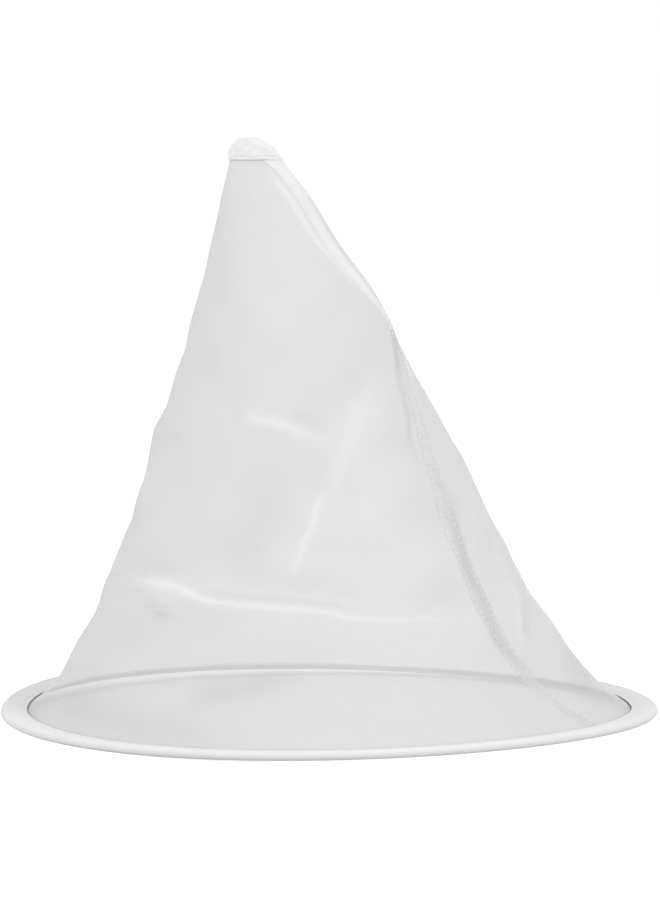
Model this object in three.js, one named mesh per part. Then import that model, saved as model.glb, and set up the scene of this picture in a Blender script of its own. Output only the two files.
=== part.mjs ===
// A cone of fine filter cloth for straining honey, standing mouth down on its sewn rim.
// Three pieces: the cloth cone, the wire hoop that holds its mouth round, and the tape that binds
// the cloth's edge to the hoop. Millimetres, +Z up, the table at z = 0, the rim's centre at x = y = 0,
// the face that is seen first towards -Y.
import * as THREE from "three";

// Driving dimensions of the rim
const rimDiameter = 300; // outside of the bound rim
const bindingWidth = 12; // the brim, from its outer edge to its inner edge
const wireDiameter = 2; // the hoop's round spring wire
const tapeThickness = 0.5; // one layer of binding tape
const clothThickness = 0.6; // one layer of filter cloth with its loft
const layerGap = 0.3; // air between sewn layers
const wireClearance = 0.4; // air round the wire in its pocket
const stitchMargin = 1; // from the wire's pocket to the cloth's raw edge

// Driving dimensions of the cone
const coneHeight = 263.5; // table to the top of the folded point
const lean = 25; // how far the whole cone leans to the left
const nod = 11.5; // how much further the point itself nods over
const nodBend = 5; // the higher, the nearer to the point the nod starts
const pointWidth = 24; // the flattened point, across
const pointThickness = 3.4; // the flattened point, front to back
const foldHeight = 11; // the folded and stitched end of the point
const foldStep = 0.6; // how far that fold stands proud of the cloth below it
const sideDraw = 17.5; // how far the slack sides would draw in at the brim from a straight cone
const flareHeight = 20; // height in which the cloth turns out into the brim
const drawFade = 235; // height above the brim where the drawing in ends
const frontDraw = 0.6; // share of the side draw that the front and the back have too

// Driving dimensions of the felled side seam
const seamWidth = 9;
const seamStep = 0.6; // the seam's extra layer
const seamFootAngle = -40; // degrees round from +X, above the brim
const seamSwing = 9.5; // degrees that its foot swings back towards the right, at the brim
const seamSwingHeight = 20; // height in which that swing fades
const seamKneeHeight = 178; // the seam meets the right side here and runs up it to the point
const seamTopSwing = 20; // degrees that it comes back to the front on its way from there to the point

// Creases of the soft cloth. Each runs through places given as degrees round and height. It stands
// out by its rise, or in where that is less than nothing, and fades over its reach to each side.
const creases = [
  { path: [[-172, 64], [-139, 70], [-112, 66], [-79, 61], [-48, 54]], rise: -1, above: 10, below: 5 },
  { path: [[-170, 60], [-139, 65], [-112, 60], [-79, 56], [-49, 49]], rise: 2.7, above: 5, below: 26 },
  { path: [[-110, 139], [-94, 134], [-85, 128]], rise: 1.7, above: 5, below: 12 },
  { path: [[-57, 150], [-66, 134], [-75, 118]], rise: 1.9, above: 10, below: 10 },
  { path: [[-79, 114], [-86, 100], [-95, 72]], rise: 1.6, above: 7, below: 7 },
  { path: [[-178, 132], [-145, 130]], rise: 1.3, above: 8, below: 8 },
  { path: [[-18, 191], [-6, 187]], rise: 2.2, above: 10, below: 9 },
  { path: [[-15, 86], [-20, 67], [-24, 38]], rise: -0.9, above: 7, below: 7 },
  { path: [[70, 58], [100, 66], [128, 66]], rise: 2.6, above: 7, below: 11 },
  { path: [[60, 150], [84, 128], [96, 92]], rise: 1.8, above: 9, below: 9 },
  { path: [[150, 170], [128, 140]], rise: 1.4, above: 9, below: 8 },
];

// How finely the round forms are divided
const rimDivisions = 64;
const wireSides = 8;
const clothColumns = 60;
const skirtRows = 15; // rows from the brim to the top of the flaring skirt
const skirtHeight = 76;
const upperRows = 15; // rows from there to the fold

const degree = Math.PI / 180;

// Worked out from the driving dimensions
const rimRadius = rimDiameter / 2;
const pocketRadius = wireDiameter / 2 + wireClearance;
const rimThickness = 2 * (pocketRadius + tapeThickness);
const wireRadialPlace = rimRadius - tapeThickness - pocketRadius;
const wireHeight = rimThickness / 2;
const brimInnerRadius = rimRadius - bindingWidth;
const slotHalf = clothThickness / 2 + layerGap;
const clothEdgeRadius = wireRadialPlace - pocketRadius - stitchMargin;
const mouthRadius = brimInnerRadius - 2 * layerGap;
const clothTop = wireHeight + clothThickness / 2;
const foldBase = coneHeight - foldHeight;

const mix = (a, b, t) => a + (b - a) * t;
const clamp = (x, low, high) => Math.min(high, Math.max(low, x));

// The hoop: a ring of round wire.
function hoopGeometry() {
  const section = [];
  for (let i = 0; i <= wireSides; i++) {
    const a = ((i % wireSides) / wireSides) * 2 * Math.PI;
    section.push(
      new THREE.Vector2(
        wireRadialPlace + (wireDiameter / 2) * Math.cos(a),
        wireHeight + (wireDiameter / 2) * Math.sin(a),
      ),
    );
  }
  return standing(new THREE.LatheGeometry(section, rimDivisions));
}

// The binding: tape folded round the hoop, with its two edges turned under, and a slot between them
// that takes the cloth. The lower edge lies flat on the table.
function bindingGeometry() {
  const outline = new THREE.Shape();
  const legEnd = brimInnerRadius;
  const round = rimThickness / 2;
  const pocketAngle = Math.asin(slotHalf / pocketRadius);
  outline.moveTo(legEnd, 0);
  outline.lineTo(rimRadius - round, 0);
  outline.absarc(rimRadius - round, wireHeight, round, -Math.PI / 2, Math.PI / 2, false);
  outline.lineTo(legEnd, rimThickness);
  outline.lineTo(legEnd, wireHeight + slotHalf);
  outline.absarc(wireRadialPlace, wireHeight, pocketRadius, Math.PI - pocketAngle, pocketAngle - Math.PI, true);
  outline.lineTo(legEnd, wireHeight - slotHalf);
  outline.closePath();
  const arcPoints = 4;
  const section = outline.getPoints(arcPoints);
  const closed = section.at(-1).distanceTo(section[0]) < layerGap / 100;
  if (!closed) section.push(section[0].clone());
  return standing(new THREE.LatheGeometry(section, rimDivisions));
}

// LatheGeometry turns its section about +Y, so the ring is laid down to turn about +Z.
function standing(lathe) {
  return lathe.rotateX(Math.PI / 2);
}

// The cone's sections are ovals, as round as the hoop at the brim and flat at the point.
function clothSection(height) {
  const t = (height - clothTop) / (foldBase - clothTop);
  const rise = height - clothTop;
  const share = clamp(rise / (coneHeight - clothTop), 0, 1);
  const drawing = sideDraw * (1 - Math.exp(-rise / flareHeight)) * (1 - rise / drawFade);
  const draw = Math.max(0, drawing);
  const inFold = clamp((height - foldBase) / foldHeight, 0, 1);
  const closing = Math.sqrt(1 - inFold ** 2);
  const up = Math.min(t, 1);
  return {
    centre: -lean * share - nod * share ** nodBend,
    halfWidth: (mix(mouthRadius, pointWidth / 2, up) - draw) * closing,
    halfDepth: (mix(mouthRadius, pointThickness / 2, up) - frontDraw * draw) * closing,
    pinch: up ** 2 / 2,
  };
}

// How near a place on the cloth is to one crease, where 1 is the crease's own reach.
function creaseAway(crease, angle, height, radius) {
  let nearest = Infinity;
  for (let i = 1; i < crease.path.length; i++) {
    const [fromAngle, fromHeight] = crease.path[i - 1];
    const [toAngle, toHeight] = crease.path[i];
    const turned = angle - fromAngle * degree;
    const across = Math.atan2(Math.sin(turned), Math.cos(turned)) * radius;
    const up = height - fromHeight;
    const run = (toAngle - fromAngle) * degree * radius;
    const climb = toHeight - fromHeight;
    const along = clamp((across * run + up * climb) / (run ** 2 + climb ** 2), 0, 1);
    const over = up - along * climb;
    const reach = over > 0 ? crease.above : crease.below;
    nearest = Math.min(nearest, Math.hypot(across - along * run, over) / reach);
  }
  return nearest;
}

// How far the creases move the cloth out at one place.
function creaseRise(angle, height) {
  const radius = clothSection(height).halfWidth;
  let rise = 0;
  for (const crease of creases) {
    rise += crease.rise * Math.exp(-(creaseAway(crease, angle, height, radius) ** 1.5));
  }
  return rise;
}

// A point of the cloth at one angle, in radians, and height, moved out from its outer face.
function clothPoint(angle, height, out) {
  const section = clothSection(height);
  const move = creaseRise(angle, height) + out;
  const side = Math.sin(angle);
  return new THREE.Vector3(
    section.centre + (section.halfWidth + move) * Math.cos(angle),
    (section.halfDepth + move) * side * Math.abs(side) ** section.pinch,
    height,
  );
}

// How far across a wall of one thickness is, measured level, where the cloth slopes.
function levelThickness(height) {
  const step = 0.5;
  const slope = (clothSection(height + step).halfWidth - clothSection(height).halfWidth) / step;
  return clothThickness * Math.hypot(1, slope);
}

// The angle of each column of the grid at one height. The first four columns are the two steps of
// the seam, so that its band keeps its width all the way up.
function columnAngles(height) {
  const section = clothSection(Math.min(height, foldBase));
  const up = clamp((height - clothTop) / (seamKneeHeight - clothTop), 0, 1);
  const swing = seamSwing * Math.exp(-((Math.max(0, height) / seamSwingHeight) ** 1.5));
  const past = clamp((height - seamKneeHeight) / (foldBase - seamKneeHeight), 0, 1);
  const topSwing = seamTopSwing * Math.sin(Math.PI * past);
  const edge = (seamFootAngle * (1 - up ** 4) + swing - topSwing) * degree;
  const band = seamWidth / ((section.halfWidth + section.halfDepth) / 2);
  const step = band / 8;
  const angles = [edge - band - step, edge - band, edge, edge + step];
  const rest = clothColumns - angles.length;
  const open = 2 * Math.PI - band - 2 * step;
  for (let i = 1; i <= rest; i++) angles.push(edge + step + (open * i) / (rest + 1));
  return angles;
}

const inSeam = (column) => column === 1 || column === 2;

// Heights of the grid's rows from the brim to the fold: closer together where the cloth flares.
function rowHeights() {
  const heights = [];
  const bottom = clothTop + clothThickness / 2;
  for (let i = 0; i < skirtRows; i++) heights.push(mix(bottom, skirtHeight, (i / skirtRows) ** 1.2));
  for (let i = 0; i <= upperRows; i++) heights.push(mix(skirtHeight, foldBase - foldStep, i / upperRows));
  return heights;
}

// The cone: outer face up to the crest of the fold, inner face up to the closing seam below it.
function clothGeometry() {
  const positions = [];
  const faces = [];
  const addRow = (points) => {
    const first = positions.length / 3;
    for (const p of points) positions.push(p.x, p.y, p.z);
    return first;
  };
  const ringPoints = (radius, height) =>
    columnAngles(clothTop).map(
      (a) => new THREE.Vector3(radius * Math.cos(a), radius * Math.sin(a), height),
    );
  const rowPoints = (height, out, seamOut) =>
    columnAngles(height).map((a, column) => clothPoint(a, height, out + (inSeam(column) ? seamOut : 0)));
  const join = (a, b, outwards) => {
    for (let i = 0; i < clothColumns; i++) {
      const j = (i + 1) % clothColumns;
      if (outwards) faces.push(a + i, a + j, b + j, a + i, b + j, b + i);
      else faces.push(a + i, b + j, a + j, a + i, b + i, b + j);
    }
  };
  const closeOver = (row, tip, outwards) => {
    const pole = addRow([tip]);
    for (let i = 0; i < clothColumns; i++) {
      const j = (i + 1) % clothColumns;
      if (outwards) faces.push(row + i, row + j, pole);
      else faces.push(row + j, row + i, pole);
    }
  };

  const outer = [addRow(ringPoints(clothEdgeRadius, clothTop)), addRow(ringPoints(mouthRadius, clothTop))];
  for (const h of rowHeights()) outer.push(addRow(rowPoints(h, 0, seamStep)));
  for (const h of foldHeights()) outer.push(addRow(rowPoints(h, foldStep, 0)));
  for (let i = 1; i < outer.length; i++) join(outer[i - 1], outer[i], true);
  const crest = clothSection(coneHeight);
  closeOver(outer.at(-1), new THREE.Vector3(crest.centre, 0, coneHeight), true);

  const under = clothTop - clothThickness;
  const inner = [addRow(ringPoints(clothEdgeRadius, under)), addRow(ringPoints(mouthRadius, under))];
  for (const h of rowHeights()) inner.push(addRow(rowPoints(h, -levelThickness(h), 0)));
  for (let i = 1; i < inner.length; i++) join(inner[i - 1], inner[i], false);
  const closing = clothSection(foldBase - foldStep);
  closeOver(inner.at(-1), new THREE.Vector3(closing.centre, 0, foldBase), false);
  join(inner[0], outer[0], true);

  const geometry = new THREE.BufferGeometry();
  geometry.setAttribute("position", new THREE.Float32BufferAttribute(positions, 3));
  geometry.setIndex(faces);
  geometry.computeVertexNormals();
  return geometry;
}

// Rows of the folded point, closing over its rounded crest.
function foldHeights() {
  const shares = [0, 0.3, 0.6, 0.82, 0.95];
  return shares.map((share) => foldBase + share * foldHeight);
}

const filterCloth = new THREE.MeshStandardMaterial({
  color: 0xe9eae9,
  roughness: 0.75,
  metalness: 0,
  transparent: true,
  opacity: 0.85,
});
const bindingTape = new THREE.MeshStandardMaterial({ color: 0xf3f3f1, roughness: 0.85, metalness: 0 });
const springWire = new THREE.MeshStandardMaterial({ color: 0x9fa3a6, roughness: 0.35, metalness: 1 });

function piece(name, geometry, material) {
  const mesh = new THREE.Mesh(geometry, material);
  mesh.name = name;
  return mesh;
}

const honeyFilter = new THREE.Group();
honeyFilter.add(
  piece("filter_cone", clothGeometry(), filterCloth),
  piece("rim_binding", bindingGeometry(), bindingTape),
  piece("rim_hoop", hoopGeometry(), springWire),
);

export default honeyFilter;
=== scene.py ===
import math

import bpy
import numpy as np
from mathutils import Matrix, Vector


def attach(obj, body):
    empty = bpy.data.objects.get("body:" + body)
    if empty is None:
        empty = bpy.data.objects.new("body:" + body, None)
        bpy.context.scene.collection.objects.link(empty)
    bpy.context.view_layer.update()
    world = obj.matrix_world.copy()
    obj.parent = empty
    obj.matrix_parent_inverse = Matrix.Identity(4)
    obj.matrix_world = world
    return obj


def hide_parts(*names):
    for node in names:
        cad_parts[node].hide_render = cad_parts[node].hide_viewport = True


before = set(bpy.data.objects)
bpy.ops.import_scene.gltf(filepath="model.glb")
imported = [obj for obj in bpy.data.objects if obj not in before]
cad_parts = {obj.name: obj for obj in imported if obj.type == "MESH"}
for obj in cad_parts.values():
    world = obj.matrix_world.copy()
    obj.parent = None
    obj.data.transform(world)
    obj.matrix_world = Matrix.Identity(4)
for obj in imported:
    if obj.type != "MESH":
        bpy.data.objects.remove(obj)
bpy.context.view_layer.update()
print("frame loaded")

mm = 0.001
degree = math.pi / 180
tiny = 1e-6  # keeps divisions off nought


# meshes, with all their sizes in millimetres


def newPiece(name, places, faces, flat):
    # flat gives each corner of each face its place on the cut cloth
    mesh = bpy.data.meshes.new(name)
    points = [tuple(p) for p in np.asarray(places) * mm]
    mesh.from_pydata(points, [], [tuple(int(i) for i in f) for f in faces])
    layer = mesh.uv_layers.new(name="flatCloth")
    layer.uv.foreach_set("vector", (np.asarray(flat) * mm).astype(np.float32).ravel())
    mesh.polygons.foreach_set("use_smooth", [True] * len(mesh.polygons))
    mesh.update()
    piece = bpy.data.objects.new(name, mesh)
    bpy.context.scene.collection.objects.link(piece)
    return piece


def addPaintedShading(piece, tone):
    layer = piece.data.attributes.new("paintedCreaseShading", "FLOAT", "POINT")
    layer.data.foreach_set("value", np.asarray(tone, np.float32))


def gridFaces(rows, columns):
    # quads of a grid that closes on itself, facing out where columns run anticlockwise and rows go up
    r, c = np.meshgrid(np.arange(rows - 1), np.arange(columns), indexing="ij")
    n = (c + 1) % columns
    corners = [r * columns + c, r * columns + n, (r + 1) * columns + n, (r + 1) * columns + c]
    return np.stack(corners, -1).reshape(-1, 4)


def gridFlat(u, v):
    # u and v have one column more than the points, so that the flat cloth is cut at the seam
    low, high = slice(None, -1), slice(1, None)
    corners = [(u[r, c], v[r, c]) for r, c in ((low, low), (low, high), (high, high), (high, low))]
    return np.stack([np.stack(c, -1) for c in corners], 2).reshape(-1, 2)


# the shape that the cloth stands in

coneShape = {
    "brimHeight": 2.2,
    "topHeight": 263.5,
    "foldBase": 252.5,
    "mouthRadius": 137.4,
    "edgeRadius": 144.2,  # the raw edge, inside the binding
    "brimMiddle": 141.0,
    "brimSag": 0.3,
    "pointGap": 6.0,  # the cut cloth stops short of the sector's centre
    "lean": 25.0,
    "nod": 11.5,
    "nodBend": 5.0,
    "pointWidth": 24.0,
    "pointDepth": 3.4,
    "sideDraw": 17.5,
    "flareHeight": 20.0,
    "drawFade": 235.0,
    "closeBend": 1.7,
    "frontDraw": 0.6,  # share of the side draw that the front and the back have too
    "columns": 280,
    "rows": 340,
    "rowShares": (0, 0.1, 0.3, 0.43, 0.54, 0.93, 1),  # closer together round the knee and a short crease
    "rowHeights": (2.5, 45.0, 71.0, 124.0, 144.0, 252.5, 263.45),
}

rimShape = {
    "outerRadius": 150.0,
    "innerRadius": 138.0,
    "height": 3.8,
    "wireRadius": 1.0,
    "wirePlace": 148.1,
    "slotHalf": 0.45,
    "saddle": 3.0,  # the springy hoop doesn't lie quite flat
    "saddleFade": 60.0,
    "backLift": 1.5,  # and it stands a little off the ground at the back
    "backFrom": 70.0,
}


def section(height):
    # centre, half width, half depth and pinch of the cone's oval at each height
    s = coneShape
    rise = height - s["brimHeight"]
    up = np.clip(rise / (s["foldBase"] - s["brimHeight"]), 0, 1)
    share = np.clip(rise / (s["topHeight"] - s["brimHeight"]), 0, 1)
    flared = 1 - np.exp(-rise / s["flareHeight"])
    draw = np.maximum(0, s["sideDraw"] * flared * (1 - rise / s["drawFade"]))
    inFold = np.clip((height - s["foldBase"]) / (s["topHeight"] - s["foldBase"]), 0, 1)
    closing = np.sqrt(1 - inFold ** s["closeBend"])
    centre = -s["lean"] * share - s["nod"] * share ** s["nodBend"]
    halfWidth = s["mouthRadius"] + (s["pointWidth"] / 2 - s["mouthRadius"]) * up - draw
    halfDepth = s["mouthRadius"] + (s["pointDepth"] / 2 - s["mouthRadius"]) * up - s["frontDraw"] * draw
    return centre, halfWidth * closing, halfDepth * closing, up**2 / 2


# Creases of the soft mesh, as places in degrees round and height. rise is how far the ridge stands out,
# or below 0 how far the valley goes in, left and right are how far it reaches to each side of its path
# as it runs, and crisp is 1 for a sharp crest and 2 for a round one.
creases = [
    # the knee, where the skirt starts to flare: a low valley over a ledge that the skirt hangs from
    {
        "path": [
            (-160, 68), (-139, 69), (-124, 66), (-112, 65),
            (-94, 64), (-79, 60), (-61, 56), (-48, 53),
        ],
        "rise": -1.1, "left": 8, "right": 3, "crisp": 2,
    },
    {
        "path": [
            (-166, 62), (-139, 65), (-124, 61), (-112, 60),
            (-94, 59), (-79, 56), (-61, 52), (-49, 49),
        ],
        "rise": 2.5, "left": 1.2, "right": 26, "crisp": 2,
    },
    {"path": [(-152, 67), (-138, 63), (-130, 57)], "rise": 0.8, "left": 3, "right": 7, "crisp": 1.5},
    {"path": [(-135, 54), (-131, 55)], "rise": -0.8, "left": 4, "right": 6, "crisp": 1.8},
    # short creases on the front
    {
        "path": [(-108, 139), (-103, 138), (-94, 134), (-85, 128)],
        "rise": 1.7, "left": 1.2, "right": 13, "crisp": 2,
    },
    {
        "path": [(-57, 150), (-66, 134), (-75, 118), (-84, 105), (-91, 88), (-95, 74)],
        "rise": -1.8, "left": 4, "right": 18, "crisp": 1.4,
    },
    {"path": [(-84, 104), (-91, 88), (-94, 78)], "rise": -0.8, "left": 1.8, "right": 6, "crisp": 1.5},
    {"path": [(-68, 196), (-72, 172), (-76, 152)], "rise": 0.9, "left": 10, "right": 10, "crisp": 1.6},
    {"path": [(-130, 212), (-130, 180), (-131, 150)], "rise": 0.5, "left": 9, "right": 9, "crisp": 1.6},
    # the sides
    {"path": [(-178, 132), (-160, 131), (-145, 130)], "rise": 1.3, "left": 8, "right": 8, "crisp": 1.6},
    {"path": [(-16, 196), (2, 190)], "rise": 2.6, "left": 12, "right": 10, "crisp": 1.6},
    {"path": [(-12, 182), (4, 180)], "rise": 1.6, "left": 8, "right": 8, "crisp": 1.8},
    {"path": [(-12, 119), (6, 118)], "rise": 1.7, "left": 9, "right": 9, "crisp": 1.8},
    {"path": [(-8, 72), (6, 71)], "rise": -1.6, "left": 8, "right": 8, "crisp": 1.8},
    {"path": [(-190, 32), (-174, 30)], "rise": 1.9, "left": 14, "right": 12, "crisp": 1.8},
    {
        "path": [(-20, 84), (-23, 67), (-26, 52), (-27, 38)],
        "rise": -0.9, "left": 5, "right": 5, "crisp": 1.5,
    },
    {"path": [(-26, 66), (-30, 52), (-34, 40)], "rise": 1.0, "left": 5, "right": 5, "crisp": 1.4},
    # the soft valley beside the seam
    {
        "path": [
            (-16, 165), (-33, 148), (-41, 130), (-44, 101),
            (-46, 76), (-47, 56), (-45, 38), (-41, 22),
        ],
        "rise": -1.1, "left": 6, "right": 10, "crisp": 1.8,
    },
    # the back, which the photo doesn't show
    {"path": [(70, 58), (100, 66), (128, 66)], "rise": 2.6, "left": 6, "right": 10, "crisp": 1.3},
    {"path": [(60, 150), (84, 128), (96, 92)], "rise": 1.8, "left": 8, "right": 8, "crisp": 1.4},
    {"path": [(150, 170), (128, 140)], "rise": 1.4, "left": 8, "right": 7, "crisp": 1.4},
]

# Light and shade painted into the mesh's colour along its creases: above 0 a painted highlight, partly the
# real whitening of threads along a fold, below 0 painted shade in the valleys and low on the skirt.
paintedCreaseMarks = [
    # the knee and the front creases: painted highlights on the crests and painted shade beside them
    {
        "path": [
            (-162, 68), (-144, 67), (-130, 66), (-124, 63), (-118, 61), (-108, 60), (-98, 59),
            (-92, 58.5), (-86, 57), (-82, 55), (-70, 53.5), (-63, 53.5), (-50, 51),
        ],
        "tone": 0.42, "left": 0.9, "right": 1.4,
    },
    {
        "path": [(-126, 66), (-118, 64), (-108, 62.8), (-98, 62), (-89, 61), (-84, 59), (-76, 56.5)],
        "tone": -0.42, "left": 1.6, "right": 1.0,
    },
    {"path": [(-142, 68), (-129, 66), (-122, 62)], "tone": 0.2, "left": 2.0, "right": 2.0},
    {"path": [(-136, 54), (-129, 54)], "tone": -0.6, "left": 1.5, "right": 1.5},
    {
        "path": [(-115, 139), (-106, 138), (-100, 137), (-94, 135), (-84, 129)],
        "tone": 0.4, "left": 1.5, "right": 2.6,
    },
    {"path": [(-93, 141), (-87, 138.5), (-78, 132)], "tone": -0.4, "left": 2.8, "right": 2.0},
    {
        "path": [(-58, 149), (-62, 143.5), (-70, 130), (-79, 114), (-83, 108)],
        "tone": 0.17, "left": 3.5, "right": 4.5,
    },
    {"path": [(-74, 116), (-75, 108), (-75, 98)], "tone": -0.3, "left": 2.0, "right": 2.0},
    {
        "path": [(-83, 108), (-87, 101), (-89, 93), (-92, 86), (-96, 72)],
        "tone": 0.42, "left": 2.0, "right": 1.5,
    },
    {"path": [(-99, 122), (-104, 100), (-108, 84), (-112, 70)], "tone": -0.4, "left": 9.0, "right": 13.0},
    # painted shade along the seam, in the valley beside it and low by the seam's foot, painted highlight on
    # the ridges beside it
    {
        "path": [
            (3, 192), (0, 187), (-9, 173.5), (-20, 163.5), (-29, 156),
            (-35, 145), (-40, 134), (-43, 126), (-43, 112),
        ],
        "tone": -0.75, "left": 1.8, "right": 2.2,
    },
    {
        "path": [(-8, 164), (-16, 157), (-26, 145), (-32, 135), (-34, 120)],
        "tone": 0.4, "left": 3.0, "right": 3.0,
    },
    {
        "path": [(-38, 110), (-34, 103), (-38, 90), (-42, 74), (-41, 59), (-44, 42), (-40, 31), (-34, 22)],
        "tone": -0.7, "left": 3.8, "right": 3.8,
    },
    {
        "path": [(-12, 78), (-14, 72), (-16, 62), (-28, 45), (-33, 36)],
        "tone": -0.45, "left": 2.6, "right": 2.6,
    },
    {"path": [(-23, 66), (-26, 58), (-30, 50), (-35, 38)], "tone": 0.3, "left": 2.4, "right": 2.4},
    {"path": [(6, 44), (-2, 30), (-12, 20), (-30, 14)], "tone": -0.6, "left": 9.0, "right": 11.0},
    # a painted highlight beside the seam's upper part, where the mesh lies doubled
    {
        "path": [(-66, 250), (-64, 243), (-56, 236), (-51, 221), (-36, 204), (-28, 196), (-18, 189)],
        "tone": 0.5, "left": 2.6, "right": 2.6,
    },
    # painted shade low on the skirt, and a faint painted highlight higher up on the left side
    {"path": [(-166, 10), (-144, 10), (-123, 8), (-104, 7)], "tone": -0.55, "left": 8.0, "right": 7.0},
    {"path": [(-122, 20), (-109, 25), (-94, 32)], "tone": -0.55, "left": 6.0, "right": 5.0},
    {"path": [(-168, 120), (-150, 105), (-140, 90)], "tone": 0.12, "left": 14.0, "right": 14.0},
]
markEnd = 0.3  # share of a mark's length over which each end fades

ripples = {
    "seed": 5,
    "count": 26,
    "size": 0.3,
    "fine": 0.06,
    "slowTurns": (1, 9),
    "quickTurns": (6, 17),
    "fineFrom": 9,  # turns round the cone from which a wave is a fine one
    "slant": 0.035,
    "least": 0.4,
    "brimStill": 6.0,
    "brimFade": 40.0,
    "pointStill": 255.0,
    "pointFade": 120.0,
}


def lineField(line, angle, height):
    # each place's distance from the line as a share of its reach, and how far along it is from the ends
    radius = section(height)[1]
    nearest = np.full(np.broadcast(angle, height).shape, np.inf)
    inside = np.zeros(nearest.shape)
    last = len(line["path"]) - 1
    for k, ((a0, h0), (a1, h1)) in enumerate(zip(line["path"], line["path"][1:])):
        turned = angle - a0 * degree
        across = np.arctan2(np.sin(turned), np.cos(turned)) * radius
        run = (a1 - a0) * degree * radius
        climb = h1 - h0
        up = height - h0
        along = np.clip((across * run + up * climb) / (run**2 + climb**2), 0, 1)
        aside = across - along * run
        above = up - along * climb
        away = np.hypot(aside, above)
        side = (run * above - climb * aside) / (tiny + away * np.hypot(run, climb))  # 1 left, -1 right
        ratio = away / (line["right"] + (line["left"] - line["right"]) * (side + 1) / 2)
        step = (k + along) / last
        inside = np.where(ratio < nearest, np.minimum(step, 1 - step), inside)
        nearest = np.minimum(nearest, ratio)
    return nearest, inside


def creaseRise(angle, height):
    total = np.zeros(np.broadcast(angle, height).shape)
    for crease in creases:
        nearest, _ = lineField(crease, angle, height)
        total = total + crease["rise"] * np.exp(-(nearest ** crease["crisp"]))
    return total


# the painted light and shade of the crease marks, fading at each mark's ends
def paintedCreaseShading(angle, height):
    total = np.zeros(np.broadcast(angle, height).shape)
    for mark in paintedCreaseMarks:
        nearest, inside = lineField(mark, angle, height)
        ends = np.sin(math.pi / 2 * np.clip(inside / markEnd, 0, 1))
        total = total + mark["tone"] * np.exp(-(nearest**2)) * ends
    return total


def rippleRise(angle, height):
    # soft long waves that close round the cone, still at the brim and at the point
    r = ripples
    rng = np.random.default_rng(r["seed"])
    total = np.zeros(np.broadcast(angle, height).shape)
    for i in range(r["count"]):
        turns = rng.integers(*r["slowTurns"]) if i % 2 else rng.integers(*r["quickTurns"])
        waves = rng.uniform(-r["slant"], r["slant"])
        size = r["size"] if turns < r["fineFrom"] else r["fine"]
        size *= rng.uniform(r["least"], 1)
        total += size * np.sin(turns * angle + 2 * math.pi * waves * height + rng.uniform(0, 6.28))
    brim = np.clip((height - r["brimStill"]) / r["brimFade"], 0, 1)
    point = np.clip((r["pointStill"] - height) / r["pointFade"], 0, 1)
    return total * brim * point


def saddleLift(x, y, height):
    s = rimShape
    lift = s["saddle"] * (0.5 - x * y / s["outerRadius"] ** 2)
    lift = lift + s["backLift"] * np.clip(y / s["backFrom"], 0, 1)
    return lift * np.exp(-np.maximum(height, 0) / s["saddleFade"])


def clothPlace(angle, height, out=0.0):
    # the cloth's place at an angle in radians and a height, moved out by so much
    centre, halfWidth, halfDepth, pinch = section(height)
    move = creaseRise(angle, height) + rippleRise(angle, height) + out
    side = np.sin(angle)
    x = centre + (halfWidth + move) * np.cos(angle)
    y = (halfDepth + move) * side * np.abs(side) ** pinch
    return np.stack([x, y, height + saddleLift(x, y, height)], -1)


# the cloth and its seam

seamShape = {
    "width": 9.0,
    "footAngle": -40.0,
    "swing": 9.5,  # the foot swings back to the right
    "swingHeight": 20.0,
    "kneeHeight": 178.0,
    "topSwing": 20.0,  # above the knee it comes back to the front a little
    "rise": 0.28,
    "edge": 0.05,
    "pressed": 0.3,  # share of its rise that is left where the band is pressed flat
    "pressedTo": 115.0,
    "pressedFade": 40.0,
    "paintedShadingShare": 0.4,  # share of the cloth's painted crease light and shade that the band carries too, as it lies over the cloth
    "lightFrom": 176.0,  # from here up the band is denser and lighter
    "foot": 2.1,  # it runs down into the binding
    "topInFold": 1.5,  # and up under the folded point
    "steps": 340,
    "stepBend": 1.15,
    "across": 13,
    "round": 2.2,
    "stitchIn": 1.4,
    "stitchHalf": 0.6,
    "stitchDip": 0.08,
    "under": 0.03,
    "grainTilt": 0.35,  # its grain lies askew to the cone's
}


def seamEdge(height):
    s = seamShape
    up = np.clip((height - coneShape["brimHeight"]) / (s["kneeHeight"] - coneShape["brimHeight"]), 0, 1)
    swing = s["swing"] * np.exp(-((np.maximum(0, height) / s["swingHeight"]) ** 1.5))
    past = np.clip((height - s["kneeHeight"]) / (coneShape["foldBase"] - s["kneeHeight"]), 0, 1)
    return (s["footAngle"] * (1 - up**4) + swing - s["topSwing"] * np.sin(math.pi * past)) * degree


def seamBand(height):
    low = np.minimum(height, coneShape["foldBase"])
    _, halfWidth, halfDepth, _ = section(low)
    return seamShape["width"] / ((halfWidth + halfDepth) / 2)


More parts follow.
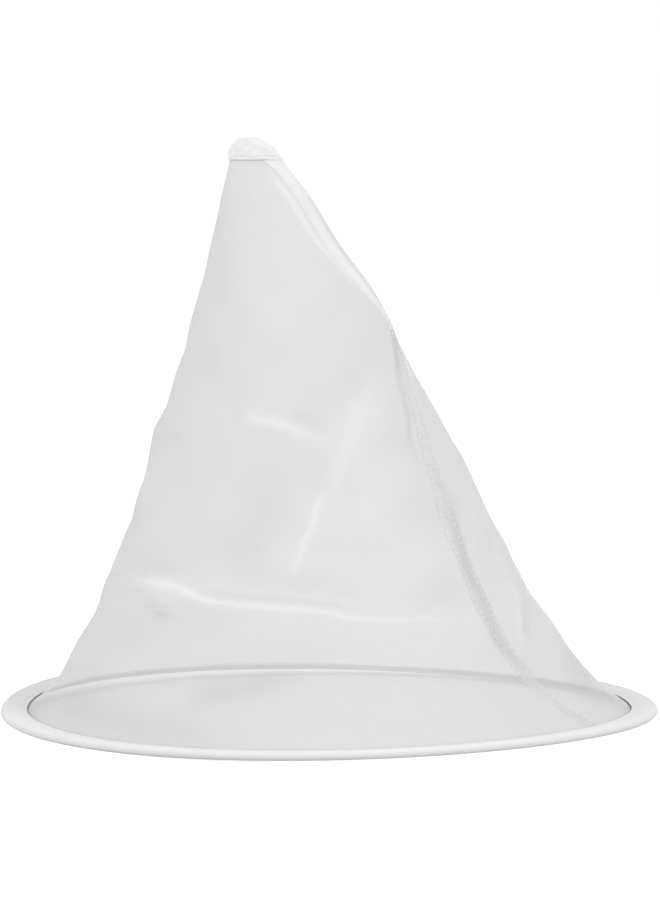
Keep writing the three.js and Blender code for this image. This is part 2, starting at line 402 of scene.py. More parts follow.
def makeCloth():
    s = coneShape
    columns = s["columns"]
    rows = s["rows"]
    height = np.interp(np.linspace(0, 1, rows), s["rowShares"], s["rowHeights"])[:, None]
    turn = np.linspace(0, 2 * math.pi, columns, endpoint=False)[None, :]
    angle = seamEdge(height) + turn
    points = clothPlace(angle, height + 0 * turn)
    brim = []
    for radius in (s["edgeRadius"], s["brimMiddle"], s["mouthRadius"]):
        a = angle[0]
        x, y = radius * np.cos(a), radius * np.sin(a)
        brim.append(np.stack([x, y, s["brimHeight"] - s["brimSag"] + saddleLift(x, y, 0 * x)], -1))
    grid = np.concatenate([np.stack(brim), points])
    crest = grid[-1].mean(0)
    # flat cloth: a sector of a circle, its outer arc as long as the raw edge
    closed = np.concatenate([grid, grid[:, :1]], 1)
    steps = np.linalg.norm(np.diff(closed, axis=1), axis=2)
    around = np.concatenate([np.zeros((len(grid), 1)), np.cumsum(steps, 1)], 1)
    slant = np.linalg.norm(np.diff(grid, axis=0), axis=2).mean(1)
    fromPoint = np.concatenate([np.cumsum(slant[::-1])[::-1], [0]]) + s["pointGap"]
    spread = around[0, -1] / fromPoint[0]
    swing = spread * around / around[:, -1:]
    u = fromPoint[:, None] * np.cos(swing)
    v = fromPoint[:, None] * np.sin(swing)
    count = grid.shape[0] * columns
    faces = [tuple(f) for f in gridFaces(grid.shape[0], columns)]
    top = (grid.shape[0] - 1) * columns
    faces += [(top + i, top + (i + 1) % columns, count) for i in range(columns)]
    flat = np.concatenate([gridFlat(u, v), np.repeat(np.array([[u[-1, 0], v[-1, 0]]]), 3 * columns, 0)])
    cloth = newPiece("filterCloth", np.concatenate([grid.reshape(-1, 3), [crest]]), faces, flat)
    # painted crease light and shade for each point, none on the brim rows or at the crest
    tone = paintedCreaseShading(angle, height + 0 * turn).ravel()
    addPaintedShading(cloth, np.concatenate([np.zeros(len(brim) * columns), tone, [0]]))
    sector = 0.5 * spread * fromPoint[0] ** 2
    return cloth, fromPoint[0], spread, sector


cloth, slantLength, sectorAngle, sectorArea = makeCloth()
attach(cloth, "root")
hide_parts("filter_cone")
cutSizes = (slantLength, sectorAngle / degree, sectorArea / 100)
print("cloth made, slant %.0f mm, sector %.0f degrees, %.0f square cm" % cutSizes)


# the folded point

foldShape = {
    "low": 253.3,
    "out": 0.45,
    "hem": ((0.1, 0.02), (0.35, 0.32), (0.3, 0.45)),  # how far each row lies down and out
    "columns": 120,
    "rows": 26,
    "wrinkles": ((0.12, 5, 0.9), (0.08, 11, -1.7)),  # size, turns and slant of each
    "flatWidth": 52.0,
    "flatHeight": 14.0,
    "stitchUp": 1.6,
}


def makePointFold():
    s = foldShape
    top = coneShape["topHeight"] - 0.02
    turn = np.linspace(0, 2 * math.pi, s["columns"], endpoint=False)[None, :]
    heights = s["low"] + (top - s["low"]) * np.sin(np.linspace(0, math.pi / 2, s["rows"]))[:, None]
    hem = [clothPlace(turn, s["low"] - below + 0 * turn, out) for below, out in s["hem"]]
    wrinkle = sum(size * np.sin(turns * turn + slant * heights) for size, turns, slant in s["wrinkles"])
    points = clothPlace(turn + 0 * heights, heights + 0 * turn, s["out"] + wrinkle)
    grid = np.concatenate([*hem, points])
    grid[..., 2] = np.minimum(grid[..., 2], coneShape["topHeight"])
    crest = grid[-1].mean(0)
    columns = s["columns"]
    faces = [tuple(f) for f in gridFaces(len(grid), columns)]
    last = (len(grid) - 1) * columns
    faces += [(last + i, last + (i + 1) % columns, len(grid) * columns) for i in range(columns)]
    u = np.repeat(np.linspace(0, s["flatWidth"], columns + 1)[None, :], len(grid), 0)
    v = np.repeat(np.linspace(0, s["flatHeight"], len(grid))[:, None], columns + 1, 1)
    middle = np.array([[s["flatWidth"] / 2, s["flatHeight"]]])
    flat = np.concatenate([gridFlat(u, v), np.repeat(middle, 3 * columns, 0)])
    return newPiece("pointFold", np.concatenate([grid.reshape(-1, 3), [crest]]), faces, flat)


pointFold = makePointFold()
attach(pointFold, "root")
print("point fold made")


# the felled side seam, a flat doubled band sewn down along both edges


def looseShare(height):
    # 0 where the band is pressed flat and 1 where it stands free
    return np.clip((height - seamShape["pressedTo"]) / seamShape["pressedFade"], 0, 1)


def bandProfile(across, height):
    # how high the band stands at each share of its width: round edges, a little hollow at the stitch rows
    s = seamShape
    edge = np.minimum(across, 1 - across) * s["width"]
    rounding = np.clip(edge / s["round"], 0, 1)
    loose = s["pressed"] + (1 - s["pressed"]) * looseShare(height)
    stitched = np.exp(-(((edge - s["stitchIn"]) / s["stitchHalf"]) ** 2))
    full = (s["rise"] - s["edge"]) * np.sqrt(1 - (1 - rounding) ** 2) - s["stitchDip"] * stitched
    return s["edge"] + full * loose


def makeSeam():
    s = seamShape
    share = np.linspace(0, 1, s["steps"])[:, None]
    top = foldShape["low"] + s["topInFold"]
    heights = s["foot"] + (top - s["foot"]) * (1 - (1 - share) ** s["stepBend"])
    across = np.linspace(0, 1, s["across"])[None, :]
    angle = seamEdge(heights) - seamBand(heights) * (1 - across)
    over = clothPlace(angle, heights + 0 * across, bandProfile(across, heights))
    under = clothPlace(angle, heights + 0 * across, s["under"] + 0 * angle)
    ring = np.concatenate([over, under[:, ::-1]], 1)
    rows, columns = ring.shape[:2]
    faces = [tuple(f) for f in gridFaces(rows, columns)]
    faces.append(tuple(range(columns))[::-1])
    last = (rows - 1) * columns
    faces.append(tuple(last + i for i in range(columns)))
    length = np.concatenate([[0], np.cumsum(np.linalg.norm(np.diff(over[:, 0], axis=0), axis=1))])
    tilt = s["grainTilt"]
    out = np.linspace(0, s["width"], s["across"])
    side = np.concatenate([out, out[::-1], [0]])
    u = side[None, :] * math.cos(tilt) + length[:, None] * math.sin(tilt)
    v = length[:, None] * math.cos(tilt) - side[None, :] * math.sin(tilt)
    flat = np.concatenate([gridFlat(u, v), np.zeros((2 * columns, 2))])
    band = newPiece("sideSeam", ring.reshape(-1, 3), faces, flat)
    for face in band.data.polygons:
        face.use_smooth = face.index % columns < s["across"] - 1 and face.index < last  # the outer side
    # the band carries part of the cloth's painted crease light and shade
    tone = s["paintedShadingShare"] * paintedCreaseShading(angle, heights + 0 * across)
    addPaintedShading(band, np.concatenate([tone, tone[:, ::-1]], 1).ravel())
    upper = int(np.searchsorted(heights[:, 0], s["lightFrom"])) * columns
    return band, upper


seam, upperSeam = makeSeam()
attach(seam, "root")
print("side seam made")


# the bound rim and its hoop

bindingShape = {
    "around": 400,
    "press": 1.0,
    "edgeRound": 0.45,
    "waver": 0.125,
    "waverReach": 3.0,
    "setBack": 4.0,  # the tape's lower edge lies further out than its upper one
    "hang": 1.0,  # and it hangs down by as much at the back
    "hangRise": 0.3,
    "hangReach": 8.0,
    "hangFade": 4.0,
    "hangBelow": 0.6,
    "stitchIn": 2.6,
    "stitchDip": 0.2,
    "stitchHalf": 1.1,
    "stitchDown": 0.92,
    "lowerStitchIn": 5.2,
    "lowerStitchUp": 0.12,
}


def bindingOutline():
    # the section, from the lower inner edge round the outside to the upper one and back through the slot
    s = rimShape
    b = bindingShape
    inner, outer, high = s["innerRadius"], s["outerRadius"], s["height"]
    half = high / 2
    r = b["edgeRound"]
    lower = inner + b["setBack"]
    points = [(lower + 0.02, 0.4), (lower + 0.03, 0.2), (lower + r * 0.45, 0.05), (lower + r * 1.3, 0)]
    points += [(x, 0) for x in np.linspace(lower + 1.6, outer - half - 0.4, 7)]
    for a in np.linspace(-math.pi / 2, math.pi / 2, 15):
        points.append((outer - half + half * math.cos(a), half + half * math.sin(a)))
    for x in np.linspace(outer - half - 0.6, inner + 1.6, 12):
        t = (x - inner) / (outer - half - inner)
        drawn = b["stitchDip"] * math.exp(-(((x - inner - b["stitchIn"]) / b["stitchHalf"]) ** 2))
        points.append((x, high - b["press"] * (1 - t) ** 0.8 - drawn))
    low = high - b["press"]
    slot = s["slotHalf"]
    innermost = len(points)
    points += [(inner + r * 1.1, low - 0.02), (inner + r * 0.4, low - 0.1)]
    points += [(inner + 0.04, low - 0.25), (inner + 0.05, half + slot + 0.06)]
    pocket = s["wireRadius"] + 0.4
    opening = math.asin(slot / pocket)
    points += [(inner + 0.6, half + slot), (inner + 5, half + slot)]
    for a in np.linspace(math.pi - opening, opening - math.pi, 14):
        points.append((s["wirePlace"] + pocket * math.cos(a), half + pocket * math.sin(a)))
    points += [(inner + 7, half - slot), (lower + 0.5, 0.5)]
    return np.array(points), innermost


def makeBinding():
    s = bindingShape
    outline, innermost = bindingOutline()
    turn = np.linspace(0, 2 * math.pi, s["around"], endpoint=False)[None, :]
    radius = outline[:, 0][:, None]
    height = outline[:, 1][:, None]
    inner = rimShape["innerRadius"]
    inward = np.clip((inner + s["waverReach"] - radius) / s["waverReach"], 0, 1)
    waves = np.sin(9 * turn + 1) + 0.6 * np.sin(23 * turn) + 0.4 * np.sin(41 * turn + 2)
    radius = radius - np.abs(s["waver"] * inward * waves)
    x = radius * np.cos(turn)
    y = radius * np.sin(turn)
    lift = saddleLift(x, y, 0 * x)
    near = np.clip((inner + s["hangReach"] - radius) / s["hangFade"], 0, 1)
    back = np.clip(y / rimShape["backFrom"], 0, 1)
    hang = np.minimum(s["hang"], np.maximum(0, lift - s["hangRise"])) * back
    ring = np.stack([x, y, height + lift - hang * near * (height < s["hangBelow"])], -1)
    rows, columns = ring.shape[:2]
    faces = [tuple(f) for f in gridFaces(rows, columns)]
    last = (rows - 1) * columns
    faces += [(last + i, last + (i + 1) % columns, (i + 1) % columns, i) for i in range(columns)]
    closed = np.concatenate([outline, outline[:1]])
    down = np.concatenate([[0], np.cumsum(np.linalg.norm(np.diff(closed, axis=0), axis=1))])
    middle = (inner + rimShape["outerRadius"]) / 2
    u = np.repeat(np.linspace(0, 2 * math.pi * middle, columns + 1)[None, :], rows + 1, 0)
    v = np.repeat(down[:, None], columns + 1, 1)
    band = newPiece("rimBinding", ring.reshape(-1, 3), faces, gridFlat(u, v))
    # the faces that look towards the cloth and into the slot, which get a darker copy of the tape as
    # painted shade
    row = np.arange(len(faces)) // columns
    return band, (row < 2) | (row > innermost)


binding, bindingPaintedShade = makeBinding()
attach(binding, "root")
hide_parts("rim_binding")

hoopShape = {"around": 320, "sides": 14}


def makeHoop():
    s = rimShape
    turn = np.linspace(0, 2 * math.pi, hoopShape["around"], endpoint=False)[None, :]
    a = np.linspace(0, 2 * math.pi, hoopShape["sides"], endpoint=False)[:, None]
    radius = s["wirePlace"] + s["wireRadius"] * np.cos(a)
    x = radius * np.cos(turn)
    y = radius * np.sin(turn)
    z = s["height"] / 2 + s["wireRadius"] * np.sin(a) + saddleLift(x, y, 0 * x)
    ring = np.stack([x, y, z], -1)
    rows, columns = ring.shape[:2]
    faces = [tuple(f) for f in gridFaces(rows, columns)]
    last = (rows - 1) * columns
    faces += [(last + i, last + (i + 1) % columns, (i + 1) % columns, i) for i in range(columns)]
    u = np.repeat(np.linspace(0, 2 * math.pi * s["wirePlace"], columns + 1)[None, :], rows + 1, 0)
    v = np.repeat(np.linspace(0, 2 * math.pi * s["wireRadius"], rows + 1)[:, None], columns + 1, 1)
    return newPiece("rimHoop", ring.reshape(-1, 3), faces, gridFlat(u, v))


hoop = makeHoop()
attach(hoop, "root")
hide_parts("rim_hoop")
print("rim made")


# sewing thread

threadShape = {
    "radius": 0.1,
    "pitch": 3.2,
    "gap": 0.55,
    "sides": 6,
    "rings": 6,
    "bulge": 0.14,
    "sunk": 0.14,  # where the seam is pressed flat
    "flatGirth": 1.2,
    "offSeam": 0.02,
    "offFold": 0.03,
    "ringPoints": 721,
    "seamPoints": 600,
    "seamFoot": 5.5,
    "belowFold": 2.5,
    "foldPoints": 90,
    "foldFrom": 0.5,
}


def stitchRow(line, outwards):
    # one stitch after another along a line of close points: each dips into the cloth at both ends
    s = threadShape
    line = np.asarray(line, float)
    outwards = np.asarray(outwards, float)
    length = np.concatenate([[0], np.cumsum(np.linalg.norm(np.diff(line, axis=0), axis=1))])
    count = max(1, int(length[-1] / s["pitch"]))
    pitch = length[-1] / count
    girth = s["flatGirth"] / s["sides"]
    places, faces, flat = [], [], []
    for k in range(count):
        start, end = k * pitch + s["gap"] / 2, (k + 1) * pitch - s["gap"] / 2
        t = np.linspace(0, 1, s["rings"])
        at = start + (end - start) * t
        centre = np.stack([np.interp(at, length, line[:, i]) for i in range(3)], -1)
        out = np.stack([np.interp(at, length, outwards[:, i]) for i in range(3)], -1)
        out /= np.linalg.norm(out, axis=1)[:, None]
        ahead = centre[-1] - centre[0]
        ahead /= np.linalg.norm(ahead)
        side = np.cross(ahead, out)
        side /= np.linalg.norm(side, axis=1)[:, None]
        arch = np.sin(math.pi * t) ** 0.7
        centre = centre + out * (s["bulge"] * (arch * 1.6 - 0.6))[:, None]
        thick = s["radius"] * (0.55 + 0.45 * arch)
        first = len(places)
        for j in range(s["rings"]):
            for i in range(s["sides"]):
                a = 2 * math.pi * i / s["sides"]
                places.append(centre[j] + thick[j] * (math.cos(a) * side[j] + math.sin(a) * out[j]))
        for j in range(s["rings"] - 1):
            for i in range(s["sides"]):
                n = (i + 1) % s["sides"]
                a, b = first + j * s["sides"], first + (j + 1) * s["sides"]
                faces.append((a + i, b + i, b + n, a + n))
                for jj, ii in ((j, i), (j + 1, i), (j + 1, i + 1), (j, i + 1)):
                    flat.append((at[jj], ii * girth))
        faces.append(tuple(first + i for i in range(s["sides"])))
        flat += [(at[0], i * girth) for i in range(s["sides"])]
        top = first + (s["rings"] - 1) * s["sides"]
        faces.append(tuple(top + i for i in reversed(range(s["sides"]))))
        flat += [(at[-1], i * girth) for i in range(s["sides"])]
    return places, faces, flat


def makeThread(name, rows):
    places, faces, flat = [], [], []
    for line, outwards in rows:
        p, f, w = stitchRow(line, outwards)
        faces += [tuple(i + len(places) for i in face) for face in f]
        places += p
        flat += w
    return newPiece(name, places, faces, flat)


def ringLine(radius, height, up):
    turn = np.linspace(0, 2 * math.pi, threadShape["ringPoints"])
    x, y = radius * np.cos(turn), radius * np.sin(turn)
    line = np.stack([x, y, height + saddleLift(x, y, 0 * x)], -1)
    return line, np.repeat([[0.0, 0.0, up]], len(turn), 0)


def seamLine(share):
    s = threadShape
    heights = np.linspace(s["seamFoot"], coneShape["foldBase"] - s["belowFold"], s["seamPoints"])
    angle = seamEdge(heights) - seamBand(heights) * (1 - share)
    stand = bandProfile(np.array(share), heights) + s["offSeam"] - s["sunk"] * (1 - looseShare(heights))
    low = clothPlace(angle, heights, stand)
    high = clothPlace(angle, heights, stand + 1)
    return low, high - low


def foldLine(sign):
    s = threadShape
    angle = sign * np.linspace(s["foldFrom"], math.pi - s["foldFrom"], s["foldPoints"])
    height = foldShape["low"] + foldShape["stitchUp"] + 0 * angle
    low = clothPlace(angle, height, foldShape["out"] + s["offFold"])
    return low, np.repeat([[0.0, float(sign), 0.0]], len(angle), 0)


def rimLines():
    b = bindingShape
    inner, high = rimShape["innerRadius"], rimShape["height"]
    upper = ringLine(inner + b["stitchIn"], high - b["stitchDown"], 1)
    lower = ringLine(inner + b["lowerStitchIn"], b["lowerStitchUp"], -1)
    return [upper, lower]


rimThread = makeThread("rimThread", rimLines())
inwards = seamShape["stitchIn"] / seamShape["width"]
seamThread = makeThread("seamThread", [seamLine(inwards), seamLine(1 - inwards)])
foldThread = makeThread("pointThread", [foldLine(-1), foldLine(1)])
for piece in (rimThread, seamThread, foldThread):
    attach(piece, "root")
print("stitches made")


# finishes


def newGroup(name, inputs, outputs):
    group = bpy.data.node_groups.new(name, "ShaderNodeTree")
    for label, kind, value in inputs:
        socket = group.interface.new_socket(name=label, in_out="INPUT", socket_type=kind)
        if value is not None:
            socket.default_value = value
    for label, kind in outputs:
        group.interface.new_socket(name=label, in_out="OUTPUT", socket_type=kind)
    return group, group.nodes.new("NodeGroupInput"), group.nodes.new("NodeGroupOutput")


def mathNode(tree, kind, a, b=None):
    node = tree.nodes.new("ShaderNodeMath")
    node.operation = kind
    for socket, value in zip(node.inputs, (a, b)):
        if isinstance(value, (int, float)):
            socket.default_value = value
        elif value is not None:
            tree.links.new(value, socket)
    return node.outputs[0]


def plainWeaveGroup():
    # a plain weave on the flat cloth. Cover is 1 on the threads and 0 in the holes, Height is for bump
    group, given, result = newGroup(
        "plainWeave",
        [
            ("Place", "NodeSocketVector", None),
            ("Pitch mm", "NodeSocketFloat", 0.6),
            ("Thread share", "NodeSocketFloat", 0.6),
        ],
        [("Cover", "NodeSocketFloat"), ("Height", "NodeSocketFloat"), ("Warp", "NodeSocketFloat")],
    )
    t = group
    scale = mathNode(t, "DIVIDE", 1000.0, given.outputs["Pitch mm"])
    scaled = t.nodes.new("ShaderNodeVectorMath")
    scaled.operation = "SCALE"
    t.links.new(given.outputs["Place"], scaled.inputs[0])
    t.links.new(scale, scaled.inputs["Scale"])
    parts = t.nodes.new("ShaderNodeSeparateXYZ")
    t.links.new(scaled.outputs[0], parts.inputs[0])
    edges = []
    waves = []
    for axis in ("X", "Y"):
        # 0 at a thread's edge and 0.5 in its middle
        across = mathNode(t, "PINGPONG", parts.outputs[axis], 0.5)
        gapShare = mathNode(t, "SUBTRACT", 1.0, given.outputs["Thread share"])
        inThread = mathNode(t, "SUBTRACT", mathNode(t, "MULTIPLY", across, 2.0), gapShare)
        edges.append(mathNode(t, "MULTIPLY", inThread, 4.0))
        waves.append(mathNode(t, "SINE", mathNode(t, "MULTIPLY", parts.outputs[axis], math.pi)))
    covers = []
    for edge in edges:
        clamped = t.nodes.new("ShaderNodeClamp")
        t.links.new(edge, clamped.inputs["Value"])
        covers.append(clamped.outputs[0])
    cover = mathNode(t, "MAXIMUM", covers[0], covers[1])
    over = mathNode(t, "MULTIPLY", waves[0], waves[1])  # which thread lies on top here
    wave = mathNode(t, "MULTIPLY", over, 0.4)
    first = mathNode(t, "MULTIPLY", covers[0], mathNode(t, "ADD", 0.6, wave))
    second = mathNode(t, "MULTIPLY", covers[1], mathNode(t, "SUBTRACT", 0.6, wave))
    t.links.new(cover, result.inputs["Cover"])
    t.links.new(mathNode(t, "MAXIMUM", first, second), result.inputs["Height"])
    t.links.new(first, result.inputs["Warp"])
    return group


def softToneGroup():
    # slow patches and fine specks of lighter and darker cloth, around 0
    group, given, result = newGroup(
        "softTone",
        [
            ("Place", "NodeSocketVector", None),
            ("Patch size", "NodeSocketFloat", 40.0),
            ("Speck size", "NodeSocketFloat", 900.0),
        ],
        [("Tone", "NodeSocketFloat"), ("Specks", "NodeSocketFloat")],
    )
    noises = []
    for label, detail in (("Patch size", 3.0), ("Speck size", 2.0)):
        noise = group.nodes.new("ShaderNodeTexNoise")
        noise.inputs["Detail"].default_value = detail
        group.links.new(given.outputs["Place"], noise.inputs["Vector"])
        group.links.new(given.outputs[label], noise.inputs["Scale"])
        noises.append(mathNode(group, "SUBTRACT", noise.outputs["Fac"], 0.5))
    group.links.new(noises[0], result.inputs["Tone"])
    group.links.new(noises[1], result.inputs["Specks"])
    return group


weaveGroup = plainWeaveGroup()
toneGroup = softToneGroup()


def newFinish(name):
    material = bpy.data.materials.new(name)
    material.use_nodes = True
    material.node_tree.nodes.clear()
    shader = material.node_tree.nodes.new("ShaderNodeBsdfPrincipled")
    output = material.node_tree.nodes.new("ShaderNodeOutputMaterial")
    material.node_tree.links.new(shader.outputs[0], output.inputs["Surface"])
    return material, material.node_tree, shader


def flatPlace(tree):
    node = tree.nodes.new("ShaderNodeUVMap")
    node.uv_map = "flatCloth"
    return node.outputs["UV"]


def placed(tree, group, values, place=None):
    node = tree.nodes.new("ShaderNodeGroup")
    node.node_tree = group
    tree.links.new(place or flatPlace(tree), node.inputs["Place"])
    for label, value in values.items():
        node.inputs[label].default_value = value
    return node


def between(tree, amount, low, high, fromLow=0.0, fromHigh=1.0):
    node = tree.nodes.new("ShaderNodeMapRange")
    tree.links.new(amount, node.inputs["Value"])
    node.inputs["From Min"].default_value = fromLow
    node.inputs["From Max"].default_value = fromHigh
    node.inputs["To Min"].default_value = low
    node.inputs["To Max"].default_value = high
    return node.outputs[0]


def blended(tree, amount, low, high):
    node = tree.nodes.new("ShaderNodeMix")
    node.data_type = "RGBA"
    tree.links.new(amount, node.inputs["Factor"])
    for label, colour in (("A", low), ("B", high)):
        if isinstance(colour, bpy.types.NodeSocket):
            tree.links.new(colour, node.inputs[label])
        else:
            node.inputs[label].default_value = (*colour, 1)
    return node.outputs["Result"]


def bumped(tree, shader, height, strength, distance):
    node = tree.nodes.new("ShaderNodeBump")
    node.inputs["Strength"].default_value = strength
    node.inputs["Distance"].default_value = distance
    tree.links.new(height, node.inputs["Height"])
    tree.links.new(node.outputs["Normal"], shader.inputs["Normal"])


meshFinish = {
    "pitch": 0.42,
    "threadShare": 0.62,
    "threadAlpha": 0.74,
    "holeAlpha": 0.4,
    "light": (0.87, 0.875, 0.87),
    "dark": (0.775, 0.78, 0.775),
    "roughness": 0.55,
    "roughSpread": 0.08,
    "sheen": 0.15,
    "specular": 0.35,
    "patchSize": 14.0,
    "speckSize": 1400.0,
    "bump": 0.25,
    "bumpDepth": 0.0001,  # metres, as in the other finishes
    # colours of the painted highlight and the painted shade along the creases
    "paintedHighlightColour": (0.97, 0.97, 0.965),
    "paintedShadeColour": (0.6, 0.605, 0.6),
    "markAlpha": 0.15,
    "edgeBlend": 0.5,
    "edgePower": 5.0,  # seen edge on, thread stands behind thread and the holes close
}


def clothFinish(name, layers, lift):
    # layers makes the mesh denser, as where it is folded over itself, and lift makes it lighter
    s = meshFinish
    material, tree, shader = newFinish(name)
    weave = placed(tree, weaveGroup, {"Pitch mm": s["pitch"], "Thread share": s["threadShare"]})
    tone = placed(tree, toneGroup, {"Patch size": s["patchSize"], "Speck size": s["speckSize"]})
    edge = tree.nodes.new("ShaderNodeLayerWeight")
    edge.inputs["Blend"].default_value = s["edgeBlend"]
    edgeOn = mathNode(tree, "POWER", edge.outputs["Facing"], s["edgePower"])
    patches = mathNode(tree, "ADD", mathNode(tree, "MULTIPLY", tone.outputs["Tone"], 0.5), 0.5)
    shade = mathNode(tree, "ADD", mathNode(tree, "MULTIPLY", weave.outputs["Height"], 0.45), patches)
    plain = blended(tree, shade, [v + lift for v in s["dark"]], [v + lift for v in s["light"]])
    # painted crease light and shade: towards near white above 0 and towards grey below 0, and the mesh a
    # little denser
    mark = tree.nodes.new("ShaderNodeAttribute")
    mark.attribute_name = "paintedCreaseShading"
    above = mathNode(tree, "MAXIMUM", mark.outputs["Fac"], 0.0)
    below = mathNode(tree, "MAXIMUM", mathNode(tree, "MULTIPLY", mark.outputs["Fac"], -1.0), 0.0)
    paintedHighlightMix = blended(tree, above, plain, s["paintedHighlightColour"])
    paintedShadeMix = blended(tree, below, paintedHighlightMix, s["paintedShadeColour"])
    tree.links.new(paintedShadeMix, shader.inputs["Base Color"])
    clear = 1 - (1 - s["holeAlpha"]) ** layers
    solid = 1 - (1 - s["threadAlpha"]) ** layers
    cover = mathNode(tree, "MAXIMUM", between(tree, weave.outputs["Cover"], clear, solid), edgeOn)
    denser = mathNode(tree, "MULTIPLY", mathNode(tree, "ABSOLUTE", mark.outputs["Fac"]), s["markAlpha"])
    cover = mathNode(tree, "ADD", cover, denser)
    tree.links.new(cover, shader.inputs["Alpha"])
    least, most = s["roughness"] - s["roughSpread"], s["roughness"] + s["roughSpread"]
    rough = between(tree, tone.outputs["Specks"], least, most, -0.3, 0.3)
    tree.links.new(rough, shader.inputs["Roughness"])
    shader.inputs["Sheen Weight"].default_value = s["sheen"]
    shader.inputs["Specular IOR Level"].default_value = s["specular"]
    bumped(tree, shader, weave.outputs["Height"], s["bump"], s["bumpDepth"])
    return material


tapeFinish = {
    "pitch": 0.55,
    "light": (0.81, 0.81, 0.805),
    "dark": (0.72, 0.72, 0.715),
    # a darker copy of the tape's colours, painted shade for the binding's inner faces
    "paintedShadeLight": (0.4, 0.4, 0.395),
    "paintedShadeDark": (0.25, 0.25, 0.245),
    "threadShare": 0.95,
    "roughness": 0.8,
    "roughSpread": 0.06,
    "sheen": 0.2,
    "patchSize": 25.0,
    "speckSize": 1600.0,
    "bump": 0.6,
    "bumpDepth": 0.00012,
}


def clothTapeFinish(name, light, dark):
    s = tapeFinish
    material, tree, shader = newFinish(name)
    weave = placed(tree, weaveGroup, {"Pitch mm": s["pitch"], "Thread share": s["threadShare"]})
    tone = placed(tree, toneGroup, {"Patch size": s["patchSize"], "Speck size": s["speckSize"]})
    patches = mathNode(tree, "ADD", mathNode(tree, "MULTIPLY", tone.outputs["Tone"], 0.5), 0.4)
    shade = mathNode(tree, "ADD", mathNode(tree, "MULTIPLY", weave.outputs["Height"], 0.6), patches)
    tree.links.new(blended(tree, shade, dark, light), shader.inputs["Base Color"])
    least, most = s["roughness"] - s["roughSpread"], s["roughness"] + s["roughSpread"]
    tree.links.new(between(tree, weave.outputs["Warp"], most, least), shader.inputs["Roughness"])
    shader.inputs["Sheen Weight"].default_value = s["sheen"]
    bumped(tree, shader, weave.outputs["Height"], s["bump"], s["bumpDepth"])
    return material


threadFinish = {
    "light": (0.97, 0.97, 0.96),
    "dark": (0.86, 0.86, 0.85),
    "twist": 0.5,
    "smoothest": 0.45,
    "roughest": 0.65,
    "patchSize": 300.0,
    "speckSize": 3000.0,
    "bump": 0.5,
    "bumpDepth": 0.0001,
}


def sewingThreadFinish():
    s = threadFinish
    material, tree, shader = newFinish("sewingThread")
    place = flatPlace(tree)
    parts = tree.nodes.new("ShaderNodeSeparateXYZ")
    tree.links.new(place, parts.inputs[0])
    along = mathNode(tree, "MULTIPLY", parts.outputs["X"], 2 * math.pi / mm / s["twist"])
    around = mathNode(tree, "MULTIPLY", parts.outputs["Y"], 2 * math.pi / mm / threadShape["flatGirth"])
    twisted = mathNode(tree, "SINE", mathNode(tree, "ADD", along, around))
    strand = mathNode(tree, "ADD", mathNode(tree, "MULTIPLY", twisted, 0.5), 0.5)
    tone = placed(tree, toneGroup, {"Patch size": s["patchSize"], "Speck size": s["speckSize"]}, place)
    tree.links.new(blended(tree, strand, s["dark"], s["light"]), shader.inputs["Base Color"])
    rough = between(tree, tone.outputs["Specks"], s["smoothest"], s["roughest"], -0.3, 0.3)
    tree.links.new(rough, shader.inputs["Roughness"])
    bumped(tree, shader, strand, s["bump"], s["bumpDepth"])
    return material


wireFinish = {
    "light": (0.66, 0.67, 0.68),
    "dark": (0.42, 0.43, 0.44),
    "smoothest": 0.25,
    "roughest": 0.5,
    "patchSize": 60.0,
    "speckSize": 2200.0,
    "bump": 0.3,
    "bumpDepth": 0.00003,
}


def springWireFinish():
    s = wireFinish
    material, tree, shader = newFinish("springWire")
    tone = placed(tree, toneGroup, {"Patch size": s["patchSize"], "Speck size": s["speckSize"]})
    shade = mathNode(tree, "ADD", tone.outputs["Tone"], 0.6)
    tree.links.new(blended(tree, shade, s["dark"], s["light"]), shader.inputs["Base Color"])
    rough = between(tree, tone.outputs["Specks"], s["smoothest"], s["roughest"], -0.3, 0.3)
    tree.links.new(rough, shader.inputs["Roughness"])
    shader.inputs["Metallic"].default_value = 1.0
    bumped(tree, shader, tone.outputs["Specks"], s["bump"], s["bumpDepth"])
    return material


def dress(piece, material):
    piece.data.materials.clear()
    piece.data.materials.append(material)


dress(cloth, clothFinish("filterMesh", 1, 0))
dress(seam, clothFinish("seamMesh", 0.35, 0))
seam.data.materials.append(clothFinish("seamTopMesh", 1.8, 0.05))
for face in seam.data.polygons:
    face.material_index = 1 if min(face.vertices) >= upperSeam else 0
dress(pointFold, clothFinish("foldMesh", 2.5, 0.05))
dress(binding, clothTapeFinish("bindingTape", tapeFinish["light"], tapeFinish["dark"]))
# the binding's inner faces wear the darker copy of the tape as painted shade
paintedShadeTape = clothTapeFinish("bindingPaintedShade", tapeFinish["paintedShadeLight"], tapeFinish["paintedShadeDark"])
binding.data.materials.append(paintedShadeTape)
binding.data.polygons.foreach_set("material_index", bindingPaintedShade.astype(np.int32))
dress(hoop, springWireFinish())
threadMaterial = sewingThreadFinish()
for piece in (rimThread, seamThread, foldThread):
    dress(piece, threadMaterial)
print("finishes made")


# floor, light and camera, with sizes in metres

studio = {
    "floorSize": 30.0,
    "floorDrop": 0.0002,
    "floorColour": (0.7, 0.7, 0.7),
    "floorGlow": 0.9,
    "worldLight": 0.72,
    "throughCloth": 0.5,
    "keyPower": 21.0,
    "keyPlace": (1.6, -1.2, 1.7),
    "keySize": 0.9,
    "fillPower": 14.0,
    "fillPlace": (-1.7, -1.0, 1.3),
    "fillSize": 1.4,
    "lightAim": (0, 0, 0.1),
}


def seenDirectly(tree):
    # 1 where the camera sees the floor or the backdrop bare, and 0 through the cloth
    path = tree.nodes.new("ShaderNodeLightPath")
    covered = mathNode(tree, "MINIMUM", path.outputs["Transparent Depth"], 1.0)
    bare = mathNode(tree, "SUBTRACT", 1.0, covered)
    return mathNode(tree, "MULTIPLY", path.outputs["Is Camera Ray"], bare)


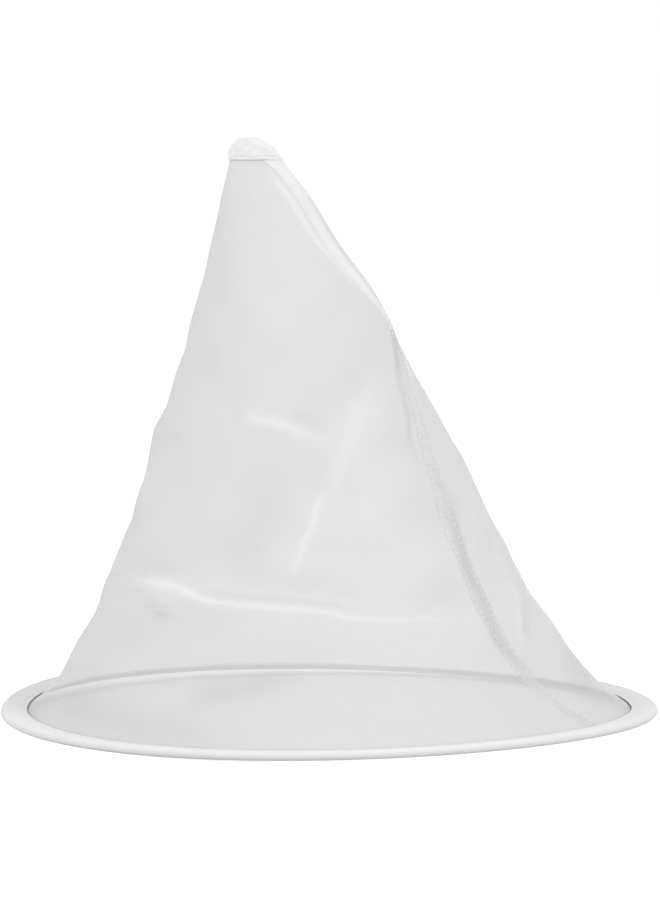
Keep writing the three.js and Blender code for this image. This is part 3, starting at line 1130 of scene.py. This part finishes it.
def makeFloor():
    half = studio["floorSize"] / 2
    mesh = bpy.data.meshes.new("floor")
    corners = [(-half, -half, 0), (half, -half, 0), (half, half, 0), (-half, half, 0)]
    mesh.from_pydata(corners, [], [(0, 1, 2, 3)])
    floor = bpy.data.objects.new("floor", mesh)
    floor.location.z = -studio["floorDrop"]
    bpy.context.scene.collection.objects.link(floor)
    material, tree, shader = newFinish("paleFloor")
    shader.inputs["Base Color"].default_value = (*studio["floorColour"], 1)
    shader.inputs["Roughness"].default_value = 1.0
    shader.inputs["Specular IOR Level"].default_value = 0.0
    shader.inputs["Emission Color"].default_value = (1, 1, 1, 1)
    glow = mathNode(tree, "MULTIPLY", seenDirectly(tree), studio["floorGlow"])
    tree.links.new(glow, shader.inputs["Emission Strength"])
    dress(floor, material)


def makeWorld():
    world = bpy.data.worlds.new("paleRoom")
    bpy.context.scene.world = world
    world.use_nodes = True
    tree = world.node_tree
    background = tree.nodes["Background"]
    path = tree.nodes.new("ShaderNodeLightPath")
    bare = seenDirectly(tree)
    mirrored = mathNode(tree, "MAXIMUM", path.outputs["Is Glossy Ray"], path.outputs["Is Transmission Ray"])
    seen = mathNode(tree, "MAXIMUM", bare, mirrored)
    # through the cloth the backdrop is as pale as the floor beside it
    through = mathNode(tree, "SUBTRACT", path.outputs["Is Camera Ray"], bare)
    less = mathNode(tree, "MULTIPLY", through, studio["worldLight"] - studio["throughCloth"])
    strength = mathNode(tree, "SUBTRACT", between(tree, seen, studio["worldLight"], 1.0), less)
    background.inputs["Color"].default_value = (1, 1, 1, 1)
    tree.links.new(strength, background.inputs["Strength"])


def makeLight(name, power, place, size):
    data = bpy.data.lights.new(name, "AREA")
    data.shape = "DISK"
    data.size = size
    data.energy = power
    light = bpy.data.objects.new(name, data)
    light.location = place
    light.rotation_euler = (Vector(studio["lightAim"]) - Vector(place)).to_track_quat("-Z", "Y").to_euler()
    bpy.context.scene.collection.objects.link(light)


view = {"aimX": 0.00034, "aimZ": 0.1211, "distance": 1.5, "elevation": 3.5, "lens": 131.49}


def makeCamera():
    data = bpy.data.cameras.new("camera")
    data.lens = view["lens"]
    data.sensor_width = 36
    camera = bpy.data.objects.new("camera", data)
    rise = view["elevation"] * degree
    back = view["distance"] * math.cos(rise)
    camera.location = (view["aimX"], -back, view["aimZ"] + view["distance"] * math.sin(rise))
    camera.rotation_euler = (math.pi / 2 - rise, 0, 0)
    bpy.context.scene.collection.objects.link(camera)
    bpy.context.scene.camera = camera


makeFloor()
makeWorld()
makeLight("keyLight", studio["keyPower"], studio["keyPlace"], studio["keySize"])
makeLight("fillLight", studio["fillPower"], studio["fillPlace"], studio["fillSize"])
makeCamera()
bpy.context.scene.view_settings.view_transform = "Standard"
print("studio made")
